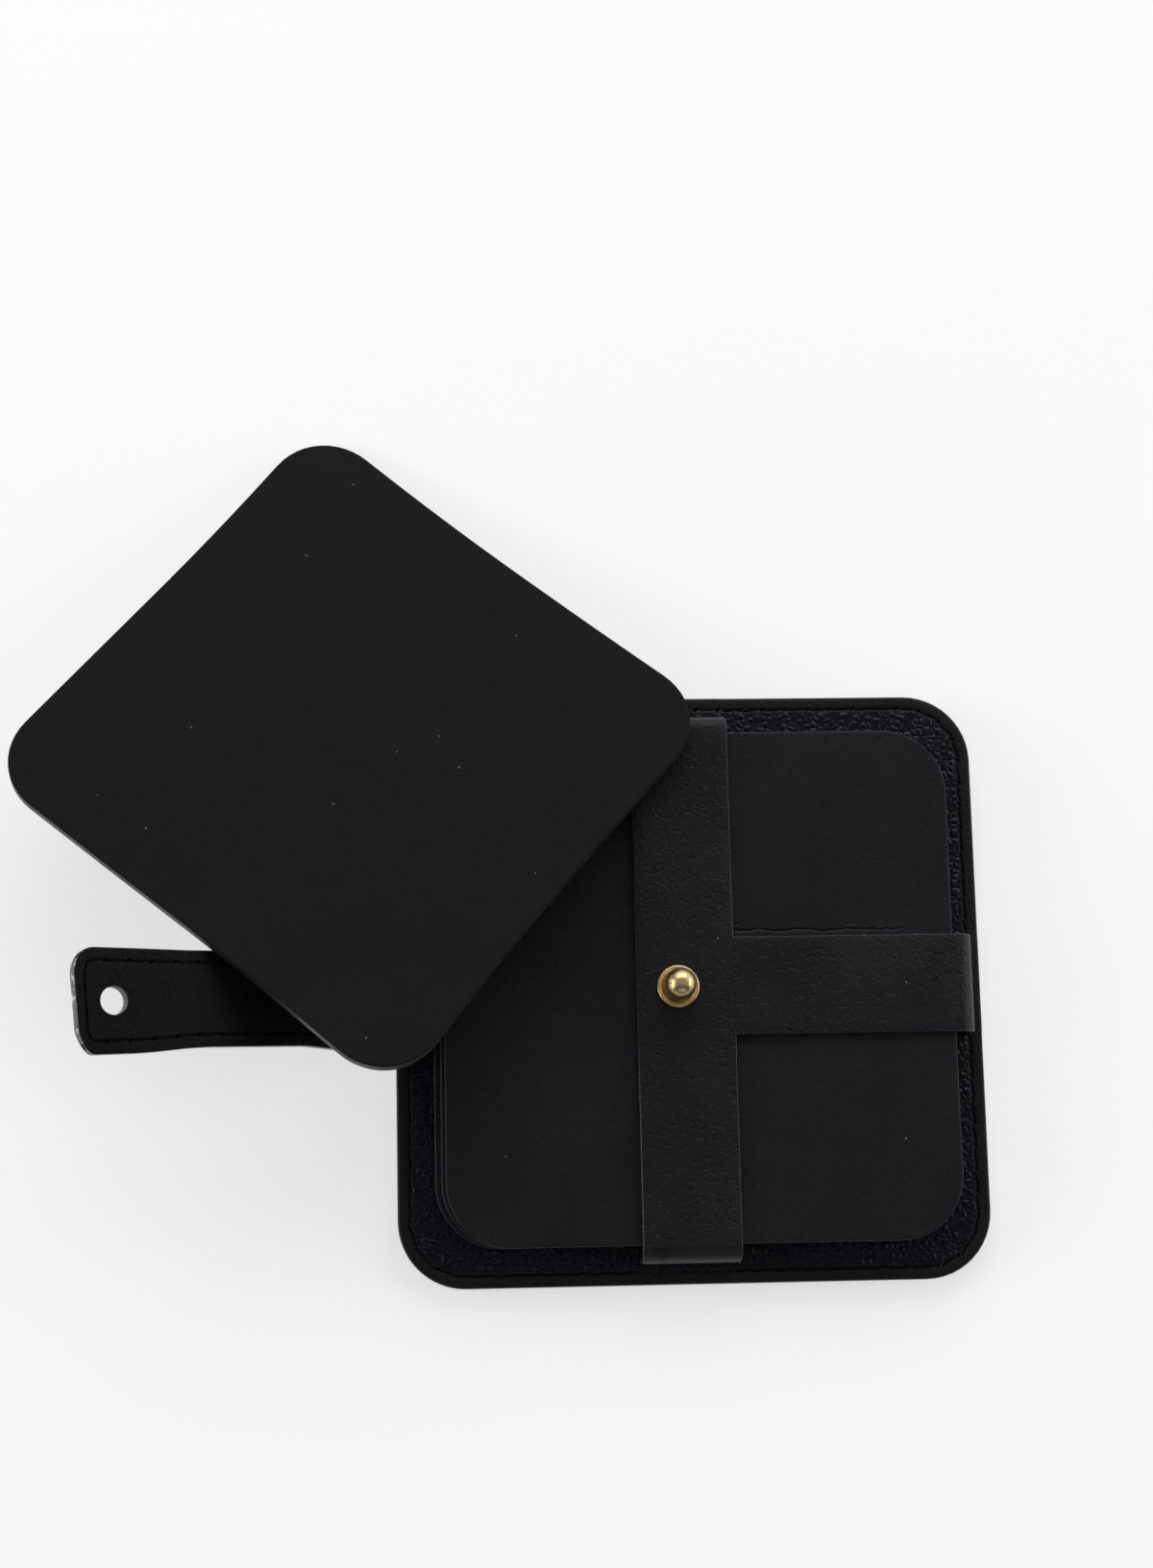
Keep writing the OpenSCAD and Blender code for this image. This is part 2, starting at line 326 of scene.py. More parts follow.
def makeGrainGroup():
    # pebbles with creases between them; where the creases break off, only short dents are left
    group, ins, outs = newGroup(
        "leatherGrain",
        [("Place", "NodeSocketVector", None), ("Pebbles", "NodeSocketFloat", 1000.0),
         ("Wander", "NodeSocketFloat", 0.0003), ("Crease", "NodeSocketFloat", 0.2),
         ("Broken", "NodeSocketFloat", 0.5), ("Wrinkle", "NodeSocketFloat", 0.25)],
        [("Height", "NodeSocketFloat"), ("Creases", "NodeSocketFloat")])
    place = ins.outputs["Place"]
    pebbles = ins.outputs["Pebbles"]
    drift = put(group, "ShaderNodeTexNoise",
                {"Vector": place, "Scale": sums(group, "MULTIPLY", pebbles, 0.35), "Detail": 1.0})
    centred = put(group, "ShaderNodeVectorMath", {0: drift.outputs["Color"], 1: (0.5, 0.5, 0.5)},
                  operation="SUBTRACT")
    pushed = put(group, "ShaderNodeVectorMath", {0: centred.outputs[0], "Scale": ins.outputs["Wander"]},
                 operation="SCALE")
    moved = put(group, "ShaderNodeVectorMath", {0: place, 1: pushed.outputs[0]}, operation="ADD")
    cells = put(group, "ShaderNodeTexVoronoi", {"Vector": moved.outputs[0], "Scale": pebbles},
                feature="DISTANCE_TO_EDGE")
    lines = ease(group, cells.outputs["Distance"], 0.0, ins.outputs["Crease"], 1.0, 0.0)
    chips = put(group, "ShaderNodeTexNoise",
                {"Vector": place, "Scale": sums(group, "MULTIPLY", pebbles, 0.9), "Detail": 1.0})
    patches = put(group, "ShaderNodeTexNoise",
                  {"Vector": place, "Scale": sums(group, "MULTIPLY", pebbles, 0.10), "Detail": 1.0})
    both = sums(group, "MULTIPLY_ADD", patches.outputs["Fac"], 0.3, chips.outputs["Fac"])
    there = ease(group, both, 0.63, 0.76)
    share = sums(group, "MULTIPLY_ADD", sums(group, "SUBTRACT", there, 1.0), ins.outputs["Broken"], 1.0)
    creases = sums(group, "MULTIPLY", lines, share)
    fine = put(group, "ShaderNodeTexNoise",
               {"Vector": place, "Scale": sums(group, "MULTIPLY", pebbles, 2.2), "Detail": 2.0})
    rough = sums(group, "MULTIPLY", fine.outputs["Fac"], ins.outputs["Wrinkle"])
    group.links.new(sums(group, "SUBTRACT", rough, creases), outs.inputs["Height"])
    group.links.new(creases, outs.inputs["Creases"])
    return group


def makeToneGroup():
    # broad, soft patches where hide is lighter or rubbed
    group, ins, outs = newGroup(
        "hideTone",
        [("Place", "NodeSocketVector", None), ("Patches", "NodeSocketFloat", 60.0)],
        [("Tone", "NodeSocketFloat"), ("Rubbed", "NodeSocketFloat")])
    broad = put(group, "ShaderNodeTexNoise",
                {"Vector": ins.outputs["Place"], "Scale": ins.outputs["Patches"], "Detail": 3.0})
    small = put(group, "ShaderNodeTexNoise",
                {"Vector": ins.outputs["Place"], "Scale": sums(group, "MULTIPLY", ins.outputs["Patches"], 7.0),
                 "Detail": 4.0, "Roughness": 0.65})
    group.links.new(ease(group, broad.outputs["Fac"], 0.3, 0.7), outs.inputs["Tone"])
    group.links.new(ease(group, small.outputs["Fac"], 0.52, 0.75), outs.inputs["Rubbed"])
    return group


def makeDustGroup():
    # a few pale specks of lint, far apart
    group, ins, outs = newGroup(
        "lintSpecks",
        [("Place", "NodeSocketVector", None), ("Spread", "NodeSocketFloat", 170.0),
         ("Share", "NodeSocketFloat", 0.72), ("Size", "NodeSocketFloat", 0.035)],
        [("Specks", "NodeSocketFloat")])
    cells = put(group, "ShaderNodeTexVoronoi", {"Vector": ins.outputs["Place"], "Scale": ins.outputs["Spread"]})
    near = sums(group, "LESS_THAN", cells.outputs["Distance"], ins.outputs["Size"])
    chosen = put(group, "ShaderNodeSeparateColor", {"Color": cells.outputs["Color"]})
    kept = sums(group, "GREATER_THAN", chosen.outputs[0], ins.outputs["Share"])
    group.links.new(sums(group, "MULTIPLY", near, kept), outs.inputs["Specks"])
    return group


grainGroup = makeGrainGroup()
toneGroup = makeToneGroup()
dustGroup = makeDustGroup()


def startMaterial(name):
    material = bpy.data.materials.new(name)
    material.use_nodes = True
    tree = material.node_tree
    place = tree.nodes.new("ShaderNodeTexCoord").outputs["Object"]
    return material, tree, tree.nodes["Principled BSDF"], place


def placeGroup(tree, group, **inputs):
    return put(tree, "ShaderNodeGroup", inputs, node_tree=group)


def addRelief(tree, shader, height, depth, strength=1.0):
    bump = put(tree, "ShaderNodeBump", {"Height": height, "Strength": strength, "Distance": depth})
    tree.links.new(bump.outputs["Normal"], shader.inputs["Normal"])


def addDullness(tree, shader, mask, span):
    # roughness from the smoothest of the span to its roughest
    dull = sums(tree, "MULTIPLY_ADD", mask, span[1] - span[0], span[0])
    tree.links.new(dull, shader.inputs["Roughness"])


# colour of the painted shade in the creases, and colour of the lint specks
shadeAndLint = {"creaseShade": (0.001, 0.001, 0.0015), "lint": (0.16, 0.16, 0.155)}
leathers = {
    # pebbles per metre, how far they wander in metres, grain depth in millimetres
    "coasterLeather": {
        "dark": (0.0088, 0.0095, 0.0114), "pale": (0.0124, 0.0133, 0.0157), "rough": (0.50, 0.62),
        "pebbles": 940, "wander": 0.0009, "crease": 0.15, "broken": 1.0, "wrinkle": 0.34, "depth": 0.036,
        "gloss": 0.21, "creaseShade": 0.5, "lint": 0.75, "pressed": True},
    "coasterBacking": {
        "dark": (0.0060, 0.0075, 0.0067), "pale": (0.0073, 0.0087, 0.0079), "rough": (0.66, 0.74),
        "pebbles": 2600, "wander": 0.0004, "crease": 0.25, "broken": 0.8, "wrinkle": 0.6, "depth": 0.006,
        "gloss": 0.13, "creaseShade": 0.15, "lint": 0.35},
    "innerLeather": {
        "dark": (0.0001, 0.0016, 0.0105), "pale": (0.0004, 0.0036, 0.0190), "rough": (0.31, 0.43),
        "pebbles": 740, "wander": 0.0009, "crease": 0.42, "broken": 0.10, "wrinkle": 0.20, "depth": 0.18,
        "gloss": 0.25, "creaseShade": 0.85, "lint": 0.9},
    "strapLeather": {
        "dark": (0.0076, 0.0083, 0.0101), "pale": (0.0138, 0.0147, 0.0174), "rough": (0.42, 0.54),
        "pebbles": 860, "wander": 0.0010, "crease": 0.18, "broken": 0.95, "wrinkle": 0.45, "depth": 0.075,
        "gloss": 0.24, "creaseShade": 0.6, "lint": 0.8},
    # the lining's own darker hide, made darker still as painted shade on the raised flap
    "liningLeather": {
        "dark": (0.0018, 0.0025, 0.0038), "pale": (0.0038, 0.0047, 0.0066), "rough": (0.48, 0.60),
        "pebbles": 1500, "wander": 0.0007, "crease": 0.18, "broken": 0.9, "wrinkle": 0.7, "depth": 0.065,
        "gloss": 0.13, "creaseShade": 0.6, "lint": 0.8, "pull": 0.45},
    "outerLeather": {
        "dark": (0.0056, 0.0060, 0.0067), "pale": (0.0088, 0.0092, 0.0099), "rough": (0.45, 0.58),
        "pebbles": 820, "wander": 0.0009, "crease": 0.18, "broken": 0.9, "wrinkle": 0.30, "depth": 0.05,
        "gloss": 0.24, "creaseShade": 0.7, "lint": 0.8},
}
# where the strap's arm has pressed a wavy crease into the leather beside it, in millimetres
pressedLine = {"along": (6.0, 44.0), "level": 9.7, "wave": 1.6, "width": 0.42, "second": 1.3, "depth": 0.22}


def pressedCrease(tree, place):
    # one long crease and a fainter one beyond it
    s = pressedLine
    parts = put(tree, "ShaderNodeSeparateXYZ", {0: place})
    waves = put(tree, "ShaderNodeTexNoise", {"Vector": place, "Scale": 260.0, "Detail": 2.0})
    bent = sums(tree, "MULTIPLY_ADD", waves.outputs["Fac"], s["wave"] * mm, (s["level"] - s["wave"] / 2) * mm)
    chips = put(tree, "ShaderNodeTexNoise", {"Vector": place, "Scale": 120.0, "Detail": 1.0})
    creases = []
    for offset, low, high in ((0.0, 0.30, 0.42), (s["second"], 0.50, 0.58)):
        away = sums(tree, "ABSOLUTE", sums(tree, "SUBTRACT", parts.outputs["Y"],
                                           sums(tree, "ADD", bent, offset * mm)), 0.0)
        line = ease(tree, away, 0.0, s["width"] * mm, 1.0, 0.0)
        creases.append(sums(tree, "MULTIPLY", line, ease(tree, chips.outputs["Fac"], low, high)))
    both = sums(tree, "MAXIMUM", *creases)
    start = ease(tree, parts.outputs["X"], s["along"][0] * mm, (s["along"][0] + 3) * mm)
    stop = ease(tree, parts.outputs["X"], (s["along"][1] - 8) * mm, s["along"][1] * mm, 1.0, 0.0)
    return sums(tree, "MULTIPLY", both, sums(tree, "MULTIPLY", start, stop))


def makeLeather(name):
    look = leathers[name]
    material, tree, shader, place = startMaterial(name)
    # leather that was pulled while it dried has its creases across the pull
    pulled = put(tree, "ShaderNodeMapping", {"Vector": place, "Scale": (1.0, look.get("pull", 1.0), 1.0)})
    grain = placeGroup(tree, grainGroup, Place=pulled.outputs[0], Pebbles=look["pebbles"], Wander=look["wander"],
                       Crease=look["crease"], Broken=look["broken"], Wrinkle=look["wrinkle"])
    tone = placeGroup(tree, toneGroup, Place=place)
    lint = placeGroup(tree, dustGroup, Place=place, Share=look["lint"])
    hide = blendColours(tree, tone.outputs["Tone"], look["dark"], look["pale"])
    dents = grain.outputs["Creases"]
    height = sums(tree, "MULTIPLY", grain.outputs["Height"], look["depth"])
    if look.get("pressed"):
        pressed = pressedCrease(tree, place)
        dents = sums(tree, "MAXIMUM", dents, pressed)
        height = sums(tree, "MULTIPLY_ADD", pressed, -pressedLine["depth"], height)
    # painted shade: the grain's creases and the pressed crease are darkened in colour
    hide = blendColours(tree, sums(tree, "MULTIPLY", dents, look["creaseShade"]), hide, shadeAndLint["creaseShade"])
    hide = blendColours(tree, lint.outputs["Specks"], hide, shadeAndLint["lint"])
    tree.links.new(hide, shader.inputs["Base Color"])
    addDullness(tree, shader, tone.outputs["Rubbed"], look["rough"])
    addRelief(tree, shader, height, mm)
    shader.inputs["Specular IOR Level"].default_value = look["gloss"]
    return material


edgePaints = {
    # colours, how much of the paint is worn off (low, high) and the roughness; the edge paint is made paler as a
    # painted highlight, and the loose coaster's copy darker as painted shade
    "litEdgePaint": {"dark": (0.024, 0.027, 0.036), "pale": (0.105, 0.112, 0.134), "worn": (0.34, 0.34, 0.34),
                    "bare": (0.48, 0.78), "rough": (0.17, 0.32)},
    "shadedEdgePaint": {"dark": (0.010, 0.011, 0.012), "pale": (0.024, 0.025, 0.027), "worn": (0.11, 0.11, 0.11),
                  "bare": (0.50, 0.80), "rough": (0.35, 0.50)},
    # pale partly from wear and partly as a painted highlight, for the strap's tip end and the hole's wall
    "wornAndLitEdge": {"dark": (0.10, 0.10, 0.102), "pale": (0.38, 0.38, 0.37), "worn": (0.70, 0.69, 0.66),
                   "bare": (0.05, 0.35), "rough": (0.45, 0.62)},
}


def makeEdgePaint(name):
    # the burnished, painted cut edge: smooth, with fibres showing through in places
    paint = edgePaints[name]
    material, tree, shader, place = startMaterial(name)
    tone = placeGroup(tree, toneGroup, Place=place, Patches=180.0)
    hide = blendColours(tree, tone.outputs["Rubbed"], paint["dark"], paint["pale"])
    bare = placeGroup(tree, toneGroup, Place=place, Patches=75.0)
    bared = ease(tree, sums(tree, "MULTIPLY", bare.outputs["Rubbed"], bare.outputs["Tone"]), *paint["bare"])
    hide = blendColours(tree, bared, hide, paint["worn"])
    tree.links.new(hide, shader.inputs["Base Color"])
    addDullness(tree, shader, tone.outputs["Tone"], paint["rough"])
    fibres = put(tree, "ShaderNodeTexNoise", {"Vector": place, "Scale": 2600.0, "Detail": 2.0})
    addRelief(tree, shader, fibres.outputs["Fac"], 0.03 * mm)
    return material


def makeThread():
    # waxed two-ply thread: slanting plies
    material, tree, shader, place = startMaterial("waxedThread")
    plies = put(tree, "ShaderNodeTexWave", {"Vector": place, "Scale": 620.0, "Distortion": 0.6},
                wave_type="BANDS", bands_direction="DIAGONAL")
    hide = blendColours(tree, plies.outputs["Fac"], (0.0016, 0.0017, 0.0020), (0.0060, 0.0062, 0.0068))
    tree.links.new(hide, shader.inputs["Base Color"])
    addRelief(tree, shader, plies.outputs["Fac"], 0.08 * mm, 0.8)
    shader.inputs["Roughness"].default_value = 0.8
    shader.inputs["Specular IOR Level"].default_value = 0.05
    return material


def makeBoard():
    # bonded leather board inside the base
    material, tree, shader, place = startMaterial("leatherBoard")
    flecks = put(tree, "ShaderNodeTexNoise", {"Vector": place, "Scale": 900.0, "Detail": 4.0})
    fibre = ease(tree, flecks.outputs["Fac"], 0.4, 0.7)
    hide = blendColours(tree, fibre, (0.008, 0.008, 0.009), (0.018, 0.017, 0.017))
    tree.links.new(hide, shader.inputs["Base Color"])
    addRelief(tree, shader, flecks.outputs["Fac"], 0.06 * mm)
    shader.inputs["Roughness"].default_value = 0.6
    return material


brass = {
    "antiqueBrass": {"bright": (0.96, 0.72, 0.39), "aged": (0.80, 0.56, 0.27), "dark": (0.26, 0.13, 0.06),
               "rough": (0.30, 0.50)},
    # a darker copy for the hollow round the ball's foot: patina and painted shade
    "patinaAndShadeBrass": {"bright": (0.58, 0.37, 0.15), "aged": (0.32, 0.185, 0.072), "dark": (0.05, 0.024, 0.010),
                  "rough": (0.36, 0.60)},
}


def makeBrass(name):
    # antique brass: bright where rubbed, brown in between, with scratches
    metal = brass[name]
    material, tree, shader, place = startMaterial(name)
    tone = placeGroup(tree, toneGroup, Place=place, Patches=420.0)
    hide = blendColours(tree, tone.outputs["Tone"], metal["bright"], metal["aged"])
    stain = sums(tree, "MULTIPLY", tone.outputs["Rubbed"], 0.6)
    hide = blendColours(tree, stain, hide, metal["dark"])
    tree.links.new(hide, shader.inputs["Base Color"])
    addDullness(tree, shader, tone.outputs["Rubbed"], metal["rough"])
    stretched = put(tree, "ShaderNodeMapping", {"Vector": place, "Scale": (1.0, 0.12, 0.4),
                                               "Rotation": (0.3, 0.2, 0.7)})
    scratches = put(tree, "ShaderNodeTexNoise", {"Vector": stretched.outputs[0], "Scale": 3200.0, "Detail": 3.0})
    addRelief(tree, shader, scratches.outputs["Fac"], 0.06 * mm, 0.8)
    shader.inputs["Metallic"].default_value = 1.0
    return material


leather = {name: makeLeather(name) for name in leathers}
edgeFinish = {name: makeEdgePaint(name) for name in edgePaints}
waxedThread = makeThread()
leatherBoard = makeBoard()
antiqueBrass = makeBrass("antiqueBrass")
patinaAndShadeBrass = makeBrass("patinaAndShadeBrass")
print("materials made")


# outlines and stitch lines

def roundedSheet(name, side, corner, sideSteps=24, cornerSteps=12):
    # a flat square with rounded corners at z = 0, left open in edit mode with its face selected
    clearSelection()
    bpy.ops.mesh.primitive_plane_add(size=side)
    piece = nameIt(name)
    bpy.ops.object.mode_set(mode="EDIT")
    pickAll()
    bpy.ops.mesh.bevel(offset_type="OFFSET", offset=corner, segments=cornerSteps, affect="VERTICES")
    bpy.ops.mesh.delete(type="ONLY_FACE")
    pick("EDGE", lambda edge: edge.calc_length() > corner)
    bpy.ops.mesh.subdivide(number_cuts=sideSteps)
    pickAll()
    bpy.ops.mesh.edge_face_add()
    return piece


def roundRim(height, radius, steps=3):
    # rounds the rim at this height of a plate that has no rings yet
    pick("EDGE", lambda edge: all(abs(v.co.z - height) < 1e-7 for v in edge.verts))
    bpy.ops.mesh.bevel(offset=radius, segments=steps, affect="EDGES", clamp_overlap=False)


def pickTop(height):
    pick("FACE", lambda face: abs(face.calc_center_median().z - height) < 1e-6 and face.normal.z > 0.9
         and len(face.verts) > 20)


def carryInwards(shares, centre=(0, 0, 0)):
    # rings inside the selected face, for something to bend
    for share in shares:
        bpy.ops.mesh.extrude_region_move()
        bpy.ops.transform.resize(value=(share, share, 1), center_override=centre)


def squareLine(half, corner, steps=8):
    # points once round a square with rounded corners
    points = []
    for quarter in range(4):
        aside = half - corner
        centreX = aside if quarter in (0, 3) else -aside
        centreY = aside if quarter in (0, 1) else -aside
        for step in range(steps + 1):
            angle = math.radians(90 * (quarter + step / steps))
            points.append(Vector((centreX + corner * math.cos(angle), centreY + corner * math.sin(angle))))
    return points


def walk(points, pitch, closed, between):
    # places at equal distances along a line, with the line's heading; between shifts them by half a stitch
    if closed:
        points = points + [points[0]]
    lengths = [(b - a).length for a, b in zip(points, points[1:])]
    count = round(sum(lengths) / pitch)
    stride = sum(lengths) / count
    places = []
    for index in range(count if closed or between else count + 1):
        left = (index + (0.5 if between else 0.0)) * stride
        for a, b, length in zip(points, points[1:], lengths):
            if left <= length or (b is points[-1] and left <= length + 1e-9):
                spot = a + (b - a) * (left / length)
                places.append((spot, math.atan2((b - a).y, (b - a).x)))
                break
            left -= length
    return places


stitch = {"pitch": 4.45, "inset": 2.4, "width": 0.56, "height": 0.40, "slant": 7, "hole": (1.25, 0.62, 0.60)}


def sew(name, line, closed, level, facing=1):
    # one bead of thread from hole to hole, copied along the line
    s = stitch
    places = walk(line, s["pitch"] * mm, closed, between=True)
    clearSelection()
    bpy.ops.mesh.primitive_uv_sphere_add(segments=8, ring_count=6, radius=1, rotation=(0, math.pi / 2, 0))
    bead = nameIt(name + "Bead")
    bpy.ops.object.transform_apply(rotation=True)
    bead.scale = Vector((s["pitch"] * 0.47, s["width"] / 2, s["height"] / 2)) * mm
    settle(bead)
    random.seed(7)
    beads = []
    for index, (spot, heading) in enumerate(places):
        one = twin(bead, f"{name}{index}")
        lean = math.radians(s["slant"] * facing + random.uniform(-3, 3))
        sink = random.uniform(-0.03, 0.05) * mm
        one.matrix_world = (Matrix.Translation((spot.x, spot.y, level - sink * facing))
                            @ Matrix.Rotation(heading + lean, 4, "Z"))
        beads.append(one)
    bpy.data.objects.remove(bead)
    thread = joinAll(beads, name)
    settle(thread)
    smooth(thread, 60)
    dress(thread, waxedThread)
    return thread


def awlHoles(line, closed, level):
    # the slanting holes between the stitches, as one cutter
    s = stitch
    cutters = []
    for index, (spot, heading) in enumerate(walk(line, s["pitch"] * mm, closed, between=False)):
        clearSelection()
        bpy.ops.mesh.primitive_cylinder_add(vertices=6, radius=0.5, depth=1)
        cutter = nameIt(f"awl{index}")
        cutter.scale = Vector((s["hole"][0], s["hole"][1], s["hole"][2] * 2)) * mm
        cutter.rotation_euler = (0, 0, heading + math.radians(35))
        cutter.location = (spot.x, spot.y, level)
        cutters.append(cutter)
    joined = joinAll(cutters, "awlHoles")
    settle(joined)
    return joined


# base

base = {
    "corner": 13.0, "edgeRound": 0.55, "grooveWidth": 0.8, "grooveDepth": 0.18, "puff": 0.20,
}


def makeBasePanel(name, node):
    # a stitched panel with its grain side up and its middle at z = 0
    low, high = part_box(node)
    side = high.x - low.x
    thick = high.z - low.z
    s = base
    panel = roundedSheet(name, side, s["corner"] * mm, sideSteps=44)
    bpy.ops.transform.translate(value=(0, 0, -thick / 2))
    pullOut((0, 0, thick))
    facesOut()
    roundRim(thick / 2, s["edgeRound"] * mm, 4)
    pickTop(thick / 2)
    halfGroove = s["grooveWidth"] / 2 * mm
    steps = (
        ((stitch["inset"] - s["edgeRound"]) * mm - halfGroove * 1.6, 0.0),
        (halfGroove * 0.6, -0.04 * mm),
        (halfGroove, (0.04 - s["grooveDepth"]) * mm),
        (halfGroove, (s["grooveDepth"] - 0.04) * mm),
        (halfGroove * 0.6, 0.04 * mm),
        (1.0 * mm, 0.0),
        (1.2 * mm, 0.0),
        (3.0 * mm, 0.0),
    )
    for inwards, down in steps:
        bpy.ops.mesh.inset(thickness=inwards, depth=down)
    closeMesh()
    line = squareLine(side / 2 - stitch["inset"] * mm, (s["corner"] - stitch["inset"]) * mm)
    cutWith(panel, awlHoles(line, True, thick / 2 - s["grooveDepth"] * mm))
    return panel, line, thick


retainer = {
    "width": 18.9, "thick": 1.4, "edgeRound": 0.28, "slit": 0.12, "tuckEnd": 56.9,
    # each end: heading, place across, how far its outer face is from the middle, bend radius
    "ends": (((0, 1), -1.6, 52.1, 2.6), ((0, -1), -1.6, 53.3, 3.6), ((1, 0), -0.9, 54.5, 3.0)),
    "under": 2.9, "steps": 10, "bendSteps": 8,
}


def slitCutter(heading, across, outer, deep):
    # a block that cuts the slit for one end of the retaining strap
    s = retainer
    size = Vector((s["width"] + 2 * s["slit"], s["thick"] + 2 * s["slit"], deep / mm * 3)) * mm
    clearSelection()
    bpy.ops.mesh.primitive_cube_add(size=1)
    cutter = nameIt("slit")
    cutter.scale = size
    out = (outer - s["thick"] / 2) * mm
    if heading[0]:
        cutter.rotation_euler = (0, 0, math.pi / 2)
        cutter.location = (heading[0] * out, across * mm, 0)
    else:
        cutter.location = (across * mm, heading[1] * out, 0)
    settle(cutter)
    return cutter


def makeBase():
    s = base
    inner, line, thick = makeBasePanel("baseInnerPanel", "base_inner_panel")
    for heading, across, outer, bend in retainer["ends"]:
        cutWith(inner, slitCutter(heading, across, outer, thick))

    def puffed(point):
        # the leather stands up a little over the strap's tucked ends
        if point.z < thick * 0.2:
            return point
        rise = 0.0
        for heading, across, outer, bend in retainer["ends"]:
            along = point.x * heading[0] + point.y * heading[1] - outer * mm
            aside = abs((point.y if heading[0] else point.x) - across * mm) - retainer["width"] / 2 * mm
            if along > 0:
                inside = max(0.0, min(1.0, 0.5 - aside / (0.8 * mm)))
                rise = max(rise, inside)
        point.z += rise * s["puff"] * mm
        return point

    coax(inner, puffed)
    inner.location = (0, 0, midpoint("base_inner_panel").z)
    settle(inner)
    under, underLine, underThick = makeBasePanel("baseUndersidePanel", "base_underside_panel")
    under.rotation_euler = (math.pi, 0, 0)
    under.location = (0, 0, midpoint("base_underside_panel").z)
    settle(under)
    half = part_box("base_inner_panel")[1].x

    def fromEdge(point):
        # how far inside the outline a point is
        aside = [max(0.0, abs(v) - (half - s["corner"] * mm)) for v in point.xy]
        if min(aside) == 0.0:
            return half - max(abs(point.x), abs(point.y))
        return s["corner"] * mm - math.hypot(*aside)

    for panel, grain in ((inner, leather["innerLeather"]), (under, leather["outerLeather"])):
        dress(panel, grain, edgeFinish["litEdgePaint"], leather["outerLeather"])
        for face in panel.data.polygons:
            depth = fromEdge(face.center)
            if abs(face.normal.z) < 0.75 and depth < s["edgeRound"] * mm:
                face.material_index = 1
            elif depth < (stitch["inset"] + s["grooveWidth"]) * mm:
                face.material_index = 2
        smooth(panel, 40)
    groove = s["grooveDepth"] * mm
    top = sew("baseStitchesTop", line, True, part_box("base_inner_panel")[1].z - groove * 0.55)
    below = sew("baseStitchesUnder", underLine, True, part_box("base_underside_panel")[0].z + groove * 0.8, -1)
    return inner, under, top, below


baseInner, baseUnder, stitchesTop, stitchesUnder = makeBase()
for piece, node, slot in ((baseInner, "base_inner_panel", "inner_leather"),
                          (baseUnder, "base_underside_panel", "outer_leather"),
                          (stitchesTop, "base_stitching", "thread"), (stitchesUnder, "base_stitching", "thread")):
    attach(piece, "holder")
    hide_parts(node)
dress(frame["nodes"]["base_stiffener"], leatherBoard)
print("base made")


# retaining strap

def makeRetainer():
    s = retainer
    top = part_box("retaining_strap")[1].z
    middle = Vector((s["ends"][0][1] * mm, s["ends"][2][1] * mm, top))
    clearSelection()
    bpy.ops.mesh.primitive_grid_add(x_subdivisions=8, y_subdivisions=8, size=s["width"] * mm, location=middle)
    strap = nameIt("retainingStrap")
    settle(strap)
    openMesh(strap)
    half = s["width"] / 2 * mm
    for heading, across, outer, bend in s["ends"]:
        bend *= mm
        out = Vector((heading[0], heading[1], 0))
        aside = out.cross(Vector((0, 0, 1)))
        start = middle.dot(out) + half
        pick("EDGE", lambda edge: abs(edgeMiddle(edge).dot(out) - start) < 1e-6
             and abs((edgeMiddle(edge) - middle).dot(aside)) < half)
        reach = outer * mm - bend - start
        for step in range(s["steps"]):
            pullOut(out * reach / s["steps"])
        pivot = out * (outer * mm - bend) + Vector((0, 0, top - bend))
        turn = out.cross(Vector((0, 0, 1)))
        bpy.ops.mesh.spin(steps=s["bendSteps"], angle=math.pi / 2, center=pivot, axis=turn)
        pullOut((0, 0, -(top - bend - s["under"] * mm)))
        pullOut(out * (s["tuckEnd"] - outer) * mm)
    pickAll()
    bpy.ops.mesh.remove_doubles(threshold=1e-6)
    closeMesh()
    dress(strap, leather["strapLeather"], edgeFinish["litEdgePaint"])
    finishWith(strap, "SOLIDIFY", thickness=s["thick"] * mm, offset=-1, use_even_offset=True,
               material_offset_rim=1)
    finishWith(strap, "BEVEL", width=s["edgeRound"] * mm, segments=3, limit_method="ANGLE",
               angle_limit=math.radians(50), use_clamp_overlap=False)
    smooth(strap, 40)
    return strap


retainingStrap = makeRetainer()
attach(retainingStrap, "holder")
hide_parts("retaining_strap")
print("retaining strap made")


# ball stud

stud = {"sides": 48, "flangeRound": 0.34, "neck": 3.6, "ball": 6.0, "ballUp": 5.8, "flange": 1.0, "rings": 14,
        "worn": 0.075, "pole": 0.12, "rim": 0.56, "hollow": 0.26, "dents": (1.6, 0.10), "shelter": 0.72}


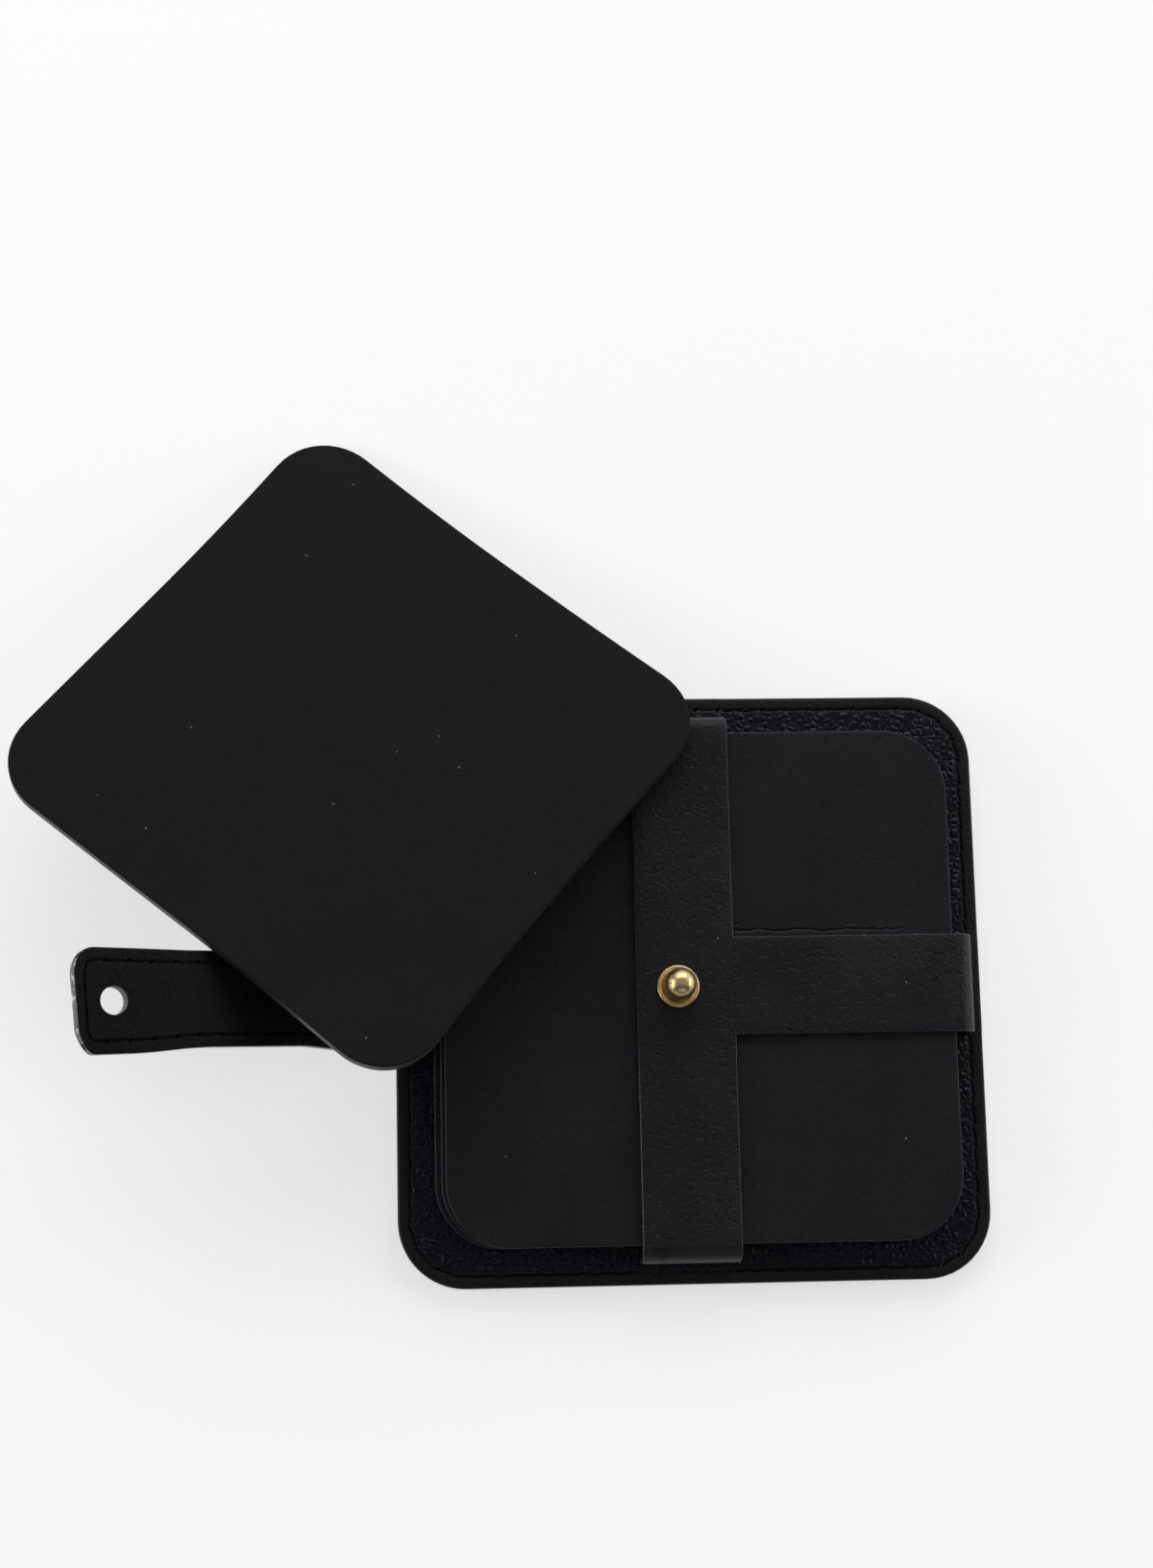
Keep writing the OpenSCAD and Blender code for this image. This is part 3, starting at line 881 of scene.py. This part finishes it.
def makeStud():
    s = stud
    low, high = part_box("stud_head")
    middle = (low + high) / 2
    radius = (high.x - low.x) / 2
    clearSelection()
    bpy.ops.mesh.primitive_cylinder_add(vertices=s["sides"], radius=radius, depth=s["flange"] * mm,
                                        location=(middle.x, middle.y, low.z + s["flange"] / 2 * mm))
    head = nameIt("studHead")
    settle(head)
    openMesh(head)
    top = low.z + s["flange"] * mm
    roundRim(top, s["flangeRound"] * mm, 4)
    pickTop(top)
    neck = s["neck"] / 2 * mm
    # a shallow hollow towards the neck, then up the neck and round the ball
    hollow = s["hollow"] * mm
    bpy.ops.mesh.inset(thickness=s["rim"] * mm, depth=-hollow / 3)
    bpy.ops.mesh.inset(thickness=s["rim"] * mm, depth=-hollow * 2 / 3)
    bpy.ops.mesh.inset(thickness=radius - (s["flangeRound"] + 2 * s["rim"] + 0.1) * mm - neck)
    ball = s["ball"] / 2 * mm
    centre = low.z + s["ballUp"] * mm
    start = math.asin(neck / ball)
    height = top - hollow
    wide = neck + 0.1 * mm
    for ring in range(s["rings"] + 1):
        angle = start + (math.pi - start - s["pole"]) * ring / s["rings"]
        nextHeight = centre - ball * math.cos(angle)
        nextHeight = min(nextHeight, high.z - s["worn"] * mm)
        nextWide = ball * math.sin(angle)
        pullOut((0, 0, nextHeight - height))
        ratio = nextWide / wide
        bpy.ops.transform.resize(value=(ratio, ratio, 1), center_override=(middle.x, middle.y, nextHeight))
        height, wide = nextHeight, nextWide
    facesOut()
    closeMesh()
    dents = bpy.data.textures.new("studDents", "CLOUDS")
    dents.noise_scale = s["dents"][0] * mm
    finishWith(head, "DISPLACE", texture=dents, strength=s["dents"][1] * mm, mid_level=0.5, texture_coords="LOCAL")
    smooth(head, 40)
    dress(head, antiqueBrass, patinaAndShadeBrass)
    # faces in the hollow round the neck take the darker brass: patina and painted shade
    inner = radius - (s["flangeRound"] + s["rim"]) * mm
    for face in head.data.polygons:
        fromAxis = (face.center.xy - middle.xy).length
        if fromAxis < inner and low.z + 0.4 * mm < face.center.z < centre - ball * s["shelter"]:
            face.material_index = 1
    return head


studHead = makeStud()
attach(studHead, "holder")
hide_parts("stud_head")
dress(frame["nodes"]["stud_screw"], antiqueBrass)
print("stud made")


# coasters

coaster = {
    "side": 99.0, "corner": 12.5, "thick": {"backing": 1.0, "face": 1.2},
    "edgeRound": 0.32, "seam": 0.10, "edgeNormal": 0.7,
    "looseTurn": (-8.044, 14.160, 49.3),
    # how much larger it was cut, how the sides draw in and the corners reach out (far right, far left,
    # near left, near right as it lies unturned) and how the whole lies, all in millimetres
    "loose": {"grow": (0.35, 0.40), "sides": (0.25, 0.30), "corners": (1.50, -0.45, 1.60, 0.35),
              "shift": (-0.55, -0.08, 0.22), "curl": 0.35},
    "stack": {"grow": (0.0, 0.0), "sides": (0.12, 0.12), "corners": (0.0, 0.0, 0.0, 0.0),
              "shift": (0.0, 0.0, 0.0), "curl": 0.0},
}


def makeCoasterLayer(name, thick, roundTop, roundBottom, grain, cutEdge):
    # one leather of a coaster, with its middle at the origin
    s = coaster
    layer = roundedSheet(name, s["side"] * mm, s["corner"] * mm)
    bpy.ops.transform.translate(value=(0, 0, -thick / 2))
    pullOut((0, 0, thick))
    facesOut()
    roundRim(thick / 2, roundTop * mm)
    roundRim(-thick / 2, roundBottom * mm)
    for height in (thick / 2, -thick / 2):
        pick("FACE", lambda face: abs(face.calc_center_median().z - height) < 1e-6 and len(face.verts) > 20)
        carryInwards((0.993, 0.94, 0.87, 0.84, 0.8, 0.75, 0.65, 0.5))
    facesOut()
    closeMesh()
    dress(layer, grain, cutEdge)
    for face in layer.data.polygons:
        if abs(face.normal.z) < s["edgeNormal"]:
            face.material_index = 1
    return layer


def eased(lie):
    # leather dries a little out of square: sides draw in, corners reach out and lift
    half = coaster["side"] / 2 * mm

    def rule(point):
        across, along = point.x / half, point.y / half
        quarter = (0 if across > 0 else 1) if along > 0 else (2 if across < 0 else 3)
        reach = lie["corners"][quarter] * mm * (across * along) ** 2
        drawnX = lie["sides"][0] * mm * abs(across) ** 3 * (1 - along ** 2)
        drawnY = lie["sides"][1] * mm * abs(along) ** 3 * (1 - across ** 2)
        point.x += (lie["grow"][0] * mm + reach) * across - math.copysign(drawnX, across)
        point.y += (lie["grow"][1] * mm + reach) * along - math.copysign(drawnY, along)
        point.z += lie["curl"] * mm * (across ** 2 * along ** 2 - 0.3 * (across ** 2 + along ** 2) + 0.15)
        return point + Vector(lie["shift"]) * mm

    return rule


def makeCoaster(which, faceDown):
    s = coaster
    layers = []
    for part, grain, slot in (("backing", "coasterBacking", "coaster_backing"),
                              ("face", "coasterLeather", "coaster_leather")):
        node = f"{which}_coaster_{part}"
        outerUp = (part == "face") != faceDown
        thick = s["thick"][part] * mm
        # the loose coaster's edges take the darker edge paint as painted shade, since they face down
        layer = makeCoasterLayer(f"{which}Coaster{part.title()}", thick,
                                 s["edgeRound"] if outerUp else s["seam"],
                                 s["seam"] if outerUp else s["edgeRound"], leather[grain],
                                 edgeFinish["shadedEdgePaint" if which == "loose" else "litEdgePaint"])
        coax(layer, eased(s["loose" if which == "loose" else "stack"]))
        if which == "loose":
            layer.rotation_euler = [math.radians(angle) for angle in s["looseTurn"]]
        layer.location = midpoint(node)
        settle(layer)
        smooth(layer, 40)
        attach(layer, f"{which}_coaster")
        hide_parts(node)
        layers.append(layer)
    return layers


for which in ("low", "middle", "top", "loose"):
    makeCoaster(which, faceDown=which == "loose")
print("coasters made")


# closing strap

closing = {
    "width": 18.6, "tipWidth": 19.6, "tipCorner": 5.0, "outer": 1.3, "lining": 1.1, "hole": 5.2,
    "tab": 15.5, "flap": 56.85, "tipPast": 8.6, "flareBefore": 14.0, "yaw": 2.0, "flapRise": 26.0,
    "rootBend": 2.2, "foldBend": 5.0, "edgeRound": 0.28, "seam": 0.08, "grooveDepth": 0.25, "grooveWidth": 0.8,
    "skived": 0.08, "pared": (3.2, 1.4), "sewnFrom": 12.9,
    "bends": (12, 41), "cutsApart": (0.5, 3.0), "bendSteps": 12,
    # the flap's waist, where it starts and, from the tip, ends, its drift sideways, and how much
    # shorter its two corners end, all in millimetres
    "waist": 0.9, "waistFrom": (32, 42), "waistTo": (28, 12), "drift": 0.35, "short": (0.9, 2.0), "shortFrom": 6.0,
    "wornAndLitEnd": 1.2, "sideWall": 0.5,
}
hinge = Vector(joints["strap_close"]["pos_m"])
fold = Vector(joints["strap_fold"]["pos_m"])
riserLength = (fold - hinge).length
riserWay = (fold - hinge).normalized()
riserMiddle = (hinge + fold) / 2
riserRise = math.asin((fold - hinge).z / riserLength)
flapRise = math.radians(closing["flapRise"])


def strapPath():
    # side view of the strap's middle line, from its end in the base to its tip, with round bends
    s = closing
    corners = [
        Vector((-s["tab"] * mm, 0)),
        Vector((0, 0)),
        Vector((riserLength * math.cos(riserRise), riserLength * math.sin(riserRise))),
    ]
    corners.append(corners[-1] + s["flap"] * mm * Vector((math.cos(flapRise), math.sin(flapRise))))
    points = [corners[0]]
    for corner, before, after, radius in ((corners[1], corners[0], corners[2], s["rootBend"] * mm),
                                          (corners[2], corners[1], corners[3], s["foldBend"] * mm)):
        inwards = (corner - before).normalized()
        outwards = (after - corner).normalized()
        turn = inwards.angle_signed(outwards) * -1
        start = corner - inwards * radius * math.tan(abs(turn) / 2)
        side = Vector((-inwards.y, inwards.x)) * math.copysign(1, turn)
        centre = start + side * radius
        for step in range(s["bendSteps"] + 1):
            arc = turn * step / s["bendSteps"]
            spoke = Matrix.Rotation(arc, 2) @ (start - centre)
            points.append(centre + spoke)
    points.append(corners[-1])
    return points


pathPoints = strapPath()
pathLength = sum((b - a).length for a, b in zip(pathPoints, pathPoints[1:]))


def makeStrapLine():
    # half of the stitch line's route: out along one side, round the tip and back, on the flat strap
    s = closing
    inset = stitch["inset"]
    side = (s["width"] / 2 - inset) * mm
    tipSide = (s["tipWidth"] / 2 - inset) * mm
    corner = (s["tipCorner"] - inset) * mm
    end = pathLength - inset * mm
    flare = pathLength - (s["tipPast"] + s["flareBefore"]) * mm
    points = [Vector((s["sewnFrom"] * mm, side)), Vector((flare, side))]
    for way in (1, -1):
        for step in range(7):
            angle = math.radians(90 * (1 - step / 6) if way == 1 else -90 * step / 6)
            points.append(Vector((end - corner + corner * math.cos(angle),
                                  way * (tipSide - corner) + corner * math.sin(angle))))
    points += [Vector((flare, -side)), Vector((s["sewnFrom"] * mm, -side))]
    return points


def makeStrapLayer(name, low, high, grainUp):
    # one leather of the strap, flat: x from its end in the base to its tip, z from its middle line
    s = closing
    clearSelection()
    bpy.ops.mesh.primitive_plane_add(size=1)
    layer = nameIt(name)
    openMesh(layer)
    pickAll()
    bpy.ops.transform.resize(value=(pathLength, s["width"] * mm, 1))
    bpy.ops.transform.translate(value=(pathLength / 2, 0, low * mm))
    flare = pathLength - (s["tipPast"] + s["flareBefore"]) * mm
    bpy.ops.mesh.bisect(plane_co=(flare, 0, 0), plane_no=(1, 0, 0))
    pick("VERT", lambda v: v.co.x > pathLength - 1e-6)
    bpy.ops.transform.resize(value=(1, s["tipWidth"] / s["width"], 1), center_override=(pathLength, 0, 0))
    bpy.ops.mesh.bevel(offset=s["tipCorner"] * mm, segments=10, affect="VERTICES")
    pickAll()
    bpy.ops.mesh.dissolve_limited(angle_limit=0.001)
    bpy.ops.mesh.select_mode(type="FACE")
    pickAll()
    pullOut((0, 0, (high - low) * mm))
    facesOut()
    outside, inside = (high, low) if grainUp else (low, high)
    roundRim(outside * mm, s["edgeRound"] * mm)
    roundRim(inside * mm, s["seam"] * mm, 1)
    way = 1 if grainUp else -1
    pick("FACE", lambda face: abs(face.calc_center_median().z - outside * mm) < 1e-6 and face.normal.z * way > 0.9
         and face.calc_area() > 1e-4)
    half = s["grooveWidth"] / 2 * mm
    # narrow flat rings beside the bends keep the wide middle evenly lit
    for inwards, down in ((0.2 * mm, 0.0), ((stitch["inset"] - s["edgeRound"] - 0.4) * mm - half, 0.0),
                          (0.2 * mm, 0.0), (half, -s["grooveDepth"] * mm), (half, s["grooveDepth"] * mm),
                          (0.2 * mm, 0.0)):
        bpy.ops.mesh.inset(thickness=inwards, depth=down)
    closeMesh()
    cutWith(layer, awlHoles(makeStrapLine(), False, (outside - way * s["grooveDepth"]) * mm))
    clearSelection()
    bpy.ops.mesh.primitive_cylinder_add(vertices=40, radius=s["hole"] / 2 * mm, depth=0.02,
                                        location=(pathLength - s["tipPast"] * mm, 0, 0))
    punch = nameIt("punch")
    settle(punch)
    cutWith(layer, punch)
    # cuts across, close together where the strap bends
    openMesh(layer)
    station = 4 * mm
    while station < pathLength - 6 * mm:
        pickAll()
        bpy.ops.mesh.bisect(plane_co=(station, 0, 0), plane_no=(1, 0, 0))
        bending = s["bends"][0] * mm < station < s["bends"][1] * mm
        station += s["cutsApart"][0 if bending else 1] * mm
    closeMesh()
    return layer


def ripple(value, low, high):
    share = max(0.0, min(1.0, (value - low) / (high - low)))
    return share * share * (3 - 2 * share)


def handCut(point):
    # the flap narrows beyond the fold, widens to its tip and ends a little out of square
    s = closing
    half = s["width"] / 2 * mm
    start, stop = (n * mm for n in s["waistFrom"])
    wide, widest = (pathLength - n * mm for n in s["waistTo"])
    slim = ripple(point.x, start, stop) * (1 - ripple(point.x, wide, widest))
    point.y -= point.y / half * slim * s["waist"] / 2 * mm + slim * s["drift"] * mm
    far, near = s["short"]
    share = (point.y / half + 1) / 2
    point.x -= (far + (near - far) * share) * mm * ripple(point.x, pathLength - s["shortFrom"] * mm, pathLength)
    return point


def layStrap(piece, route):
    # bends a flat piece along the route and turns it to its place
    s = closing
    coax(piece, handCut)
    finishWith(piece, "CURVE", object=route, deform_axis="POS_X")
    piece.rotation_euler = (0, 0, math.pi + math.radians(s["yaw"]))
    piece.location = hinge
    settle(piece)


def makeRoute():
    curve = bpy.data.curves.new("strapRoute", "CURVE")
    curve.dimensions = "3D"
    curve.twist_mode = "Z_UP"
    spline = curve.splines.new("POLY")
    spline.points.add(len(pathPoints) - 1)
    for knot, point in zip(spline.points, pathPoints):
        knot.co = (point.x, 0, point.y, 1)
    route = bpy.data.objects.new("strapRoute", curve)
    bpy.context.scene.collection.objects.link(route)
    return route


def partStrap(piece, rootName, endName):
    # two closed pieces that meet halfway up the riser
    ends = {}
    for name, keepsRoot in ((rootName, True), (endName, False)):
        part = twin(piece, name)
        openMesh(part)
        pickAll()
        bpy.ops.mesh.bisect(plane_co=riserMiddle, plane_no=riserWay, use_fill=True, clear_outer=keepsRoot,
                            clear_inner=not keepsRoot)
        closeMesh()
        ends[name] = part
    bpy.data.objects.remove(piece)
    return ends[rootName], ends[endName]


def partThread(piece, rootName, endName):
    # whole stitches go to one side or the other
    openMesh(piece)
    pickAll()
    bpy.ops.mesh.separate(type="LOOSE")
    closeMesh()
    stitches = [o for o in bpy.context.selected_objects if o.type == "MESH"]
    groups = {rootName: [], endName: []}
    for one in stitches:
        middle = sum((v.co for v in one.data.vertices), Vector()) / len(one.data.vertices)
        groups[rootName if (middle - riserMiddle).dot(riserWay) < 0 else endName].append(one)
    return [joinAll(group, name) for name, group in groups.items()]


def makeClosingStrap():
    s = closing
    half = (s["outer"] + s["lining"]) / 2
    seam = s["outer"] - half
    outer = makeStrapLayer("strapOuter", -half, seam, grainUp=False)
    lining = makeStrapLayer("strapLining", seam, half, grainUp=True)

    def skive(point):
        # the lining is pared thin where it goes into the base
        if point.z > (seam + 0.02) * mm:
            full = ripple(point.x, (s["tab"] - s["pared"][0]) * mm, (s["tab"] - s["pared"][1]) * mm)
            thin = s["skived"] / s["lining"]
            point.z = seam * mm + (point.z - seam * mm) * (thin + (1 - thin) * full)
        return point

    coax(lining, skive)
    line = makeStrapLine()
    groove = s["grooveDepth"]
    threadUp = sew("strapStitchesUp", line, False, (half - groove * 0.55) * mm)
    threadDown = sew("strapStitchesDown", line, False, (-half + groove * 0.55) * mm, -1)
    route = makeRoute()
    for layer, grain in ((outer, leather["outerLeather"]), (lining, leather["liningLeather"])):
        dress(layer, grain, edgeFinish["litEdgePaint"], edgeFinish["wornAndLitEdge"])
        for face in layer.data.polygons:
            steep = abs(face.normal.z) < 0.7
            fromHole = (face.center - Vector((pathLength - s["tipPast"] * mm, 0, face.center.z))).length
            if steep and abs(face.center.y) > (s["width"] / 2 - s["sideWall"]) * mm:
                face.material_index = 1
            # the tip's end and the hole's wall take the pale edge: wear and a painted highlight
            if abs(face.normal.z) < 0.95 and face.center.x > pathLength - s["wornAndLitEnd"] * mm:
                face.material_index = 2
            if steep and fromHole < (s["hole"] / 2 + 0.1) * mm:
                face.material_index = 2
    for piece in (outer, lining, threadUp, threadDown):
        layStrap(piece, route)
    bpy.data.objects.remove(route)
    pieces = {}
    for part, piece, title in ((partStrap, outer, "Outer"), (partStrap, lining, "Lining"),
                               (partThread, threadUp, "ThreadUp"), (partThread, threadDown, "ThreadDown")):
        root, end = part(piece, f"strapRoot{title}", f"strapEnd{title}")
        if part is partStrap:
            smooth(root, 40)
            smooth(end, 40)
        pieces[root.name], pieces[end.name] = root, end
    return pieces


strapPieces = makeClosingStrap()
stoodFor = {
    "strapRootOuter": ("closing_strap_tab", "riser_outer"), "strapRootLining": ("riser_lining",),
    "strapEndOuter": ("flap_outer",), "strapEndLining": ("flap_lining",),
    "strapEndThreadUp": ("flap_stitching",), "strapEndThreadDown": ("flap_stitching",),
}
for name, piece in strapPieces.items():
    if "Root" in name:
        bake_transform(piece)
    else:
        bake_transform(piece)
    if name in stoodFor:
        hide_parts(*stoodFor[name])
    kind = "thread" if "Thread" in name else "strap_leather" if "Lining" in name else "outer_leather"
print("closing strap made")
